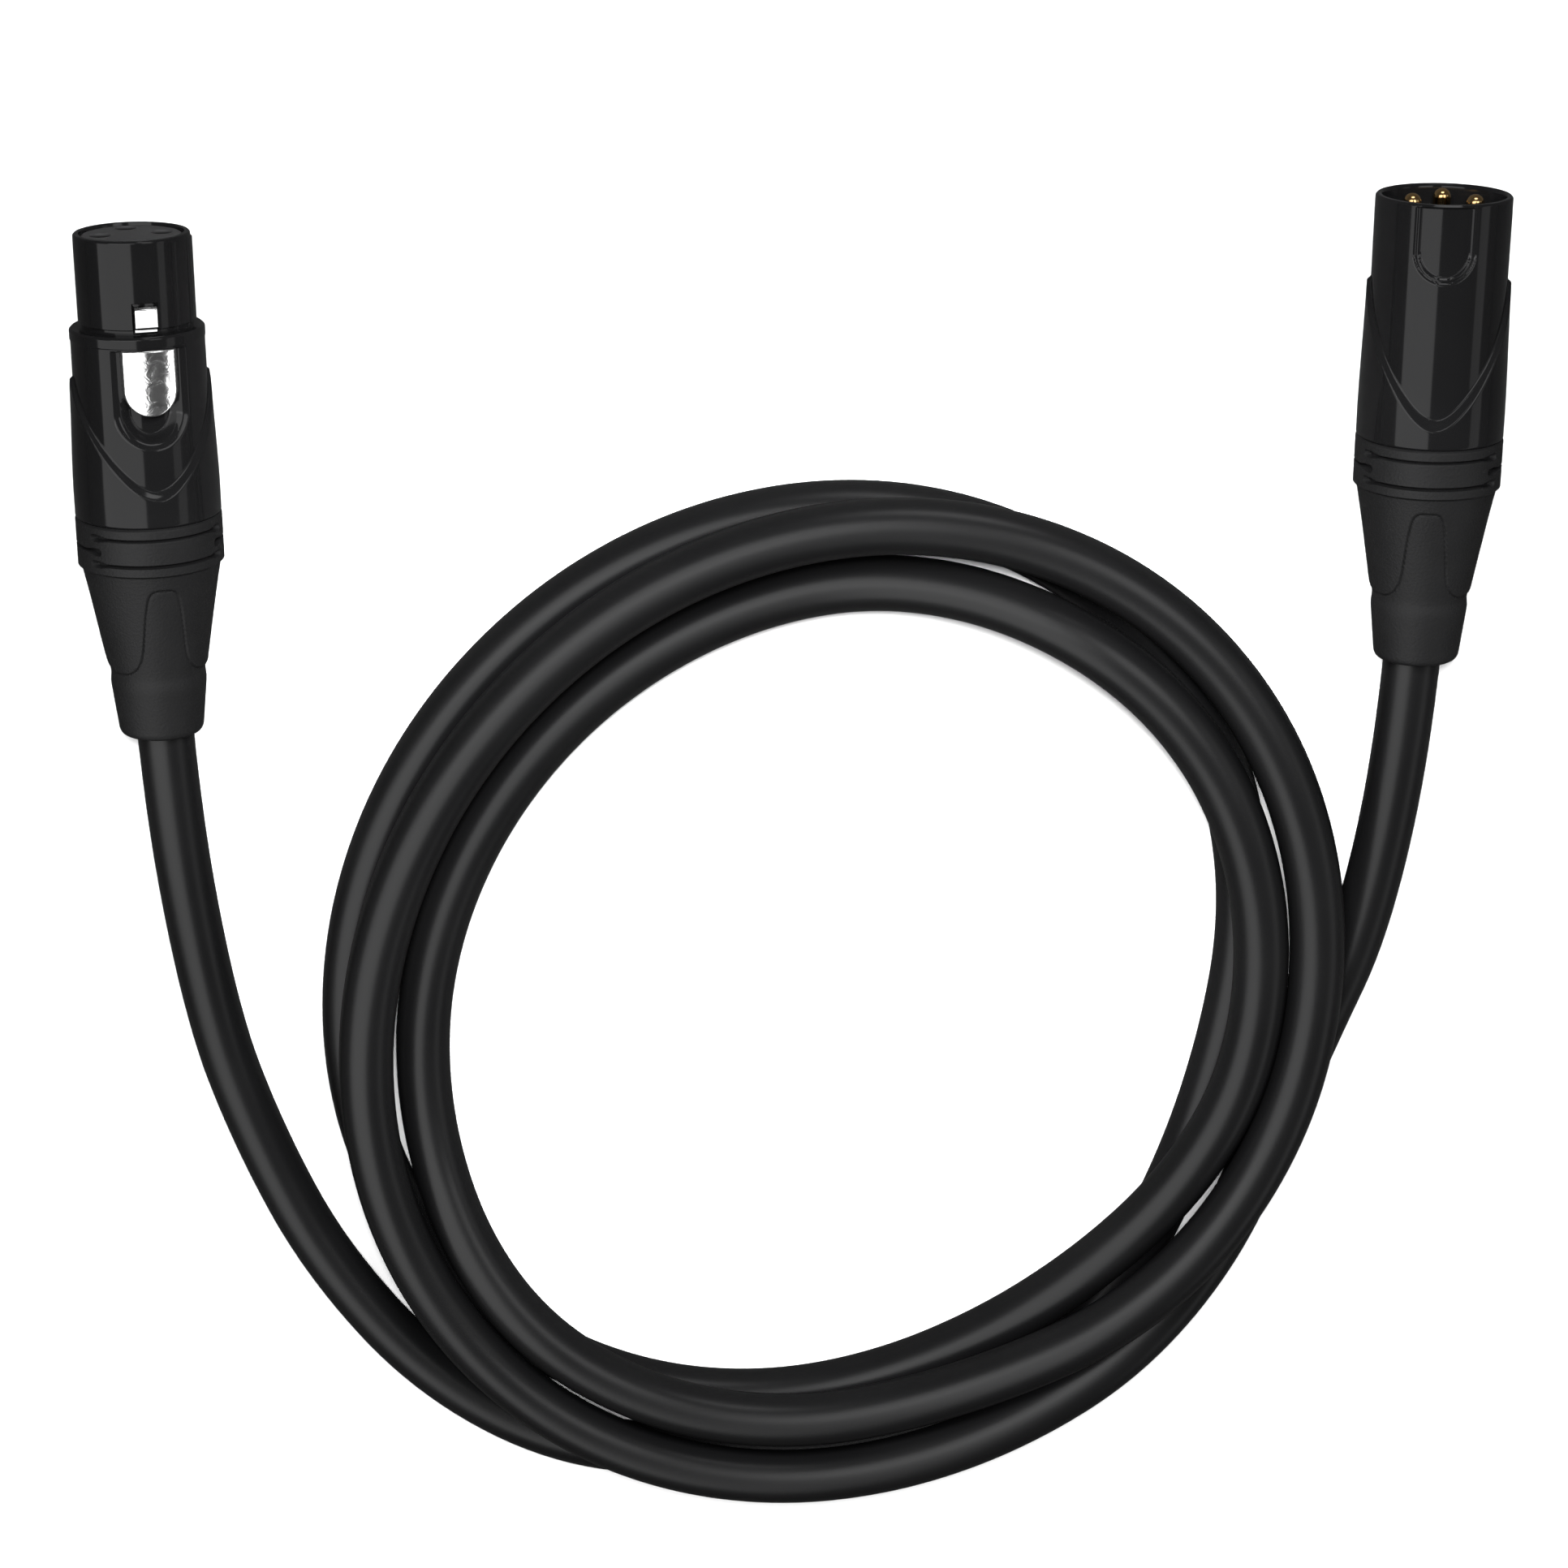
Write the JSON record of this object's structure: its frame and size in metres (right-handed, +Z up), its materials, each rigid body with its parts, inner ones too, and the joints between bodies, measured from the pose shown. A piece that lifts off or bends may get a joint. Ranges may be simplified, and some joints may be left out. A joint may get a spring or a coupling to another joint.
{
  "type": "xlr cable coil",
  "caption": "Balanced microphone cable wound in a loose flat coil, with a latching socket connector on one end and a pin connector on the other.",
  "frame": {"origin": "on the surface that the cable lies on, midway between the two connectors", "axes": "+Z up, +Y towards the connectors' front faces, +X from the female connector to the male one"},
  "size_m": [0.1978, 0.2009, 0.0202],
  "materials": {
    "black_shell": "smooth glossy black plating",
    "black_insert": "moulded, slightly satin",
    "gold_contact": "polished gold plating",
    "tinned_steel": "bright tinned strip",
    "chrome_latch": "bright nickel",
    "white_nylon": "natural nylon",
    "black_rubber": "matte, fine moulded grain",
    "cable_jacket": "satin flexible PVC",
    "shield_sleeve": "black heat-shrink over the drain wire",
    "red_insulation": "extruded insulation",
    "white_insulation": "extruded insulation"
  },
  "bodies": {
    "cable_and_shells": {"female_shell": "black_shell", "male_shell": "black_shell", "female_insert": "black_insert", "male_insert": "black_insert", "female_contact_1": "gold_contact", "female_contact_2": "gold_contact", "female_contact_3": "gold_contact", "male_pin_1": "gold_contact", "male_pin_2": "gold_contact", "male_pin_3": "gold_contact", "female_ground_contact": "tinned_steel", "male_ground_contact": "tinned_steel", "latch_pin": "tinned_steel", "latch_spring": "tinned_steel", "cable_female_tail": "cable_jacket", "cable_male_tail": "cable_jacket", "cable_coil": "cable_jacket", "female_wire_shield": "shield_sleeve", "male_wire_shield": "shield_sleeve", "female_wire_hot": "red_insulation", "male_wire_hot": "red_insulation", "female_wire_cold": "white_insulation", "male_wire_cold": "white_insulation"},
    "latch": {"latch_lever": "chrome_latch"},
    "female_collet": {"female_chuck": "white_nylon"},
    "female_boot": {"female_boot_nut": "black_rubber", "female_boot_sleeve": "black_rubber"},
    "male_collet": {"male_chuck": "white_nylon"},
    "male_boot": {"male_boot_nut": "black_rubber", "male_boot_sleeve": "black_rubber"}
  },
  "joints": [
    {"name": "latch_press", "type": "hinge", "parent": "cable_and_shells", "child": "latch", "pos_m": [-0.08678, 0.008, 0.01594], "axis": [-0.9426, 0, 0.3338], "range_deg": [0, 5], "stiffness_Nm_per_rad": 0.2, "springref_deg": -20.05, "deforming": ["latch_spring"]},
    {"name": "female_boot_travel", "type": "slide", "parent": "cable_and_shells", "child": "female_collet", "axis": [0, -1, 0], "range_m": [0, 0.003]},
    {"name": "female_boot_turn", "type": "hinge", "parent": "female_collet", "child": "female_boot", "pos_m": [-0.08885, -0.0062, 0.0101], "axis": [0, -1, 0], "range_deg": [0, 1080]},
    {"name": "male_boot_travel", "type": "slide", "parent": "cable_and_shells", "child": "male_collet", "axis": [0, -1, 0], "range_m": [0, 0.003]},
    {"name": "male_boot_turn", "type": "hinge", "parent": "male_collet", "child": "male_boot", "pos_m": [0.08885, 0.0048, 0.0101], "axis": [0, -1, 0], "range_deg": [0, 1080]}
  ],
  "couplings": [
    {"joint": "female_boot_travel", "follows": "female_boot_turn", "m_per_rad": 0.00015915},
    {"joint": "male_boot_travel", "follows": "male_boot_turn", "m_per_rad": 0.00015915}
  ]
}
